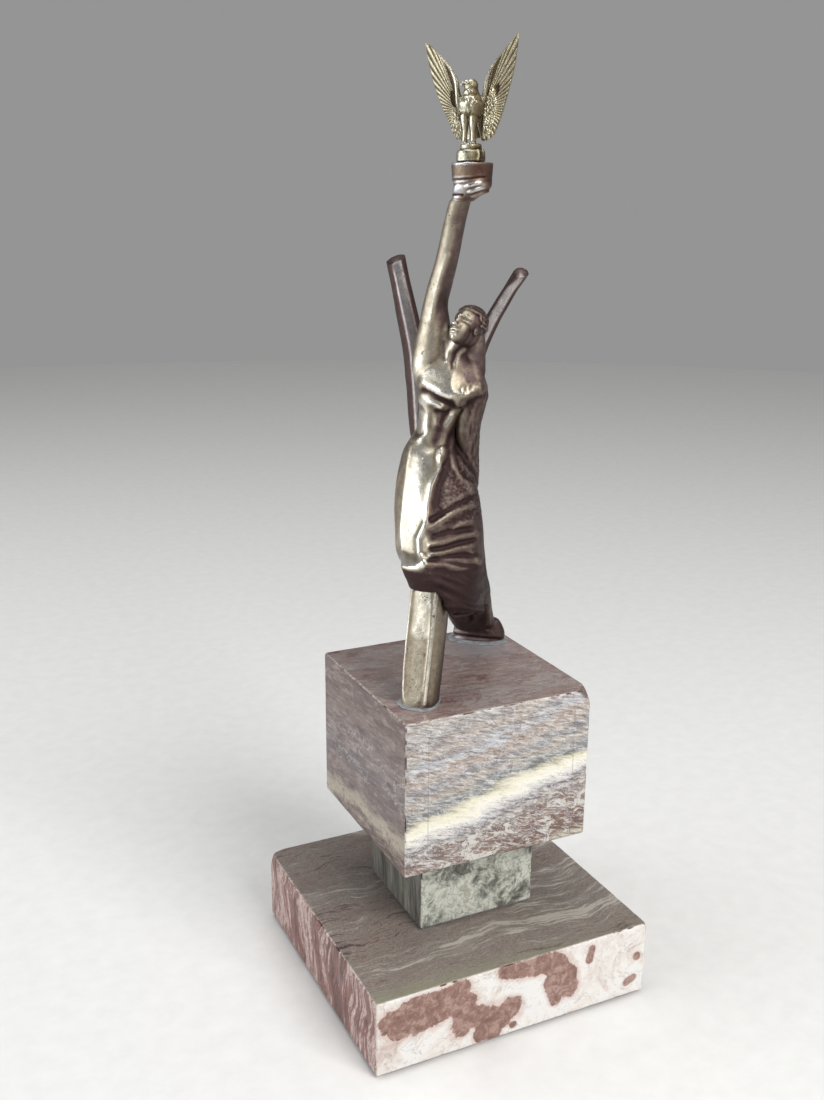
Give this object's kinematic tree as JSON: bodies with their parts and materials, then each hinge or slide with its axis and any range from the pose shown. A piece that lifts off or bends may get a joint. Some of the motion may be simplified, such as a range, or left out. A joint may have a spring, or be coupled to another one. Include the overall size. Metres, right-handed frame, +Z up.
{
  "type": "figure trophy",
  "caption": "Trophy: brass striding figure with a raised arm holding an eagle finial, on a stepped marble base held by a tie rod.",
  "frame": {"origin": "centre of the underside of the base, on the surface the trophy stands on", "axes": "+Z up; +X and +Y along the sides of the square base; the figure strides towards the corner at -X -Y"},
  "size_m": [0.15, 0.146, 0.4587],
  "materials": {
    "felt": "short-pile felt",
    "rust_marble": "honed marble, cream with rust-red patches and grey bands",
    "green_marble": "honed mottled pale green and grey marble",
    "banded_marble": "polished banded travertine marble",
    "adhesive": "grey cured epoxy",
    "steel": "zinc plated steel",
    "polished_brass": "worn polished sand-cast brass with dark recesses",
    "patinated_brass": "brown patinated sand-cast brass",
    "eagle_brass": "yellow brass with darkened feather lines"
  },
  "bodies": {
    "trophy": {"felt_pad": "felt", "base_slab": "rust_marble", "neck_block": "green_marble", "upper_block": "banded_marble", "lower_adhesive_bed": "adhesive", "upper_adhesive_bed": "adhesive", "front_foot_adhesive": "adhesive", "rear_foot_adhesive": "adhesive", "tie_rod": "steel", "rod_anchor": "steel", "clamp_washer": "steel", "clamp_nut": "steel", "front_stud": "steel", "rear_stud": "steel", "front_leg": "polished_brass", "draped_skirt": "polished_brass", "torso": "polished_brass", "raised_arm": "polished_brass", "head": "polished_brass", "rear_foot": "patinated_brass", "rear_leg": "patinated_brass", "hand_cup": "patinated_brass", "lowered_arm": "patinated_brass", "cape": "patinated_brass", "right_cape_wing": "patinated_brass", "left_cape_wing": "patinated_brass"},
    "eagle": {"eagle_stud": "steel", "eagle_pedestal": "eagle_brass", "eagle_body": "eagle_brass", "eagle_wing_left": "eagle_brass", "eagle_wing_right": "eagle_brass"}
  },
  "joints": [
    {"name": "eagle_turn", "type": "hinge", "parent": "trophy", "child": "eagle", "pos_m": [-0.00127, -0.01004, 0.405], "axis": [0, 0, 1], "continuous": true}
  ]
}
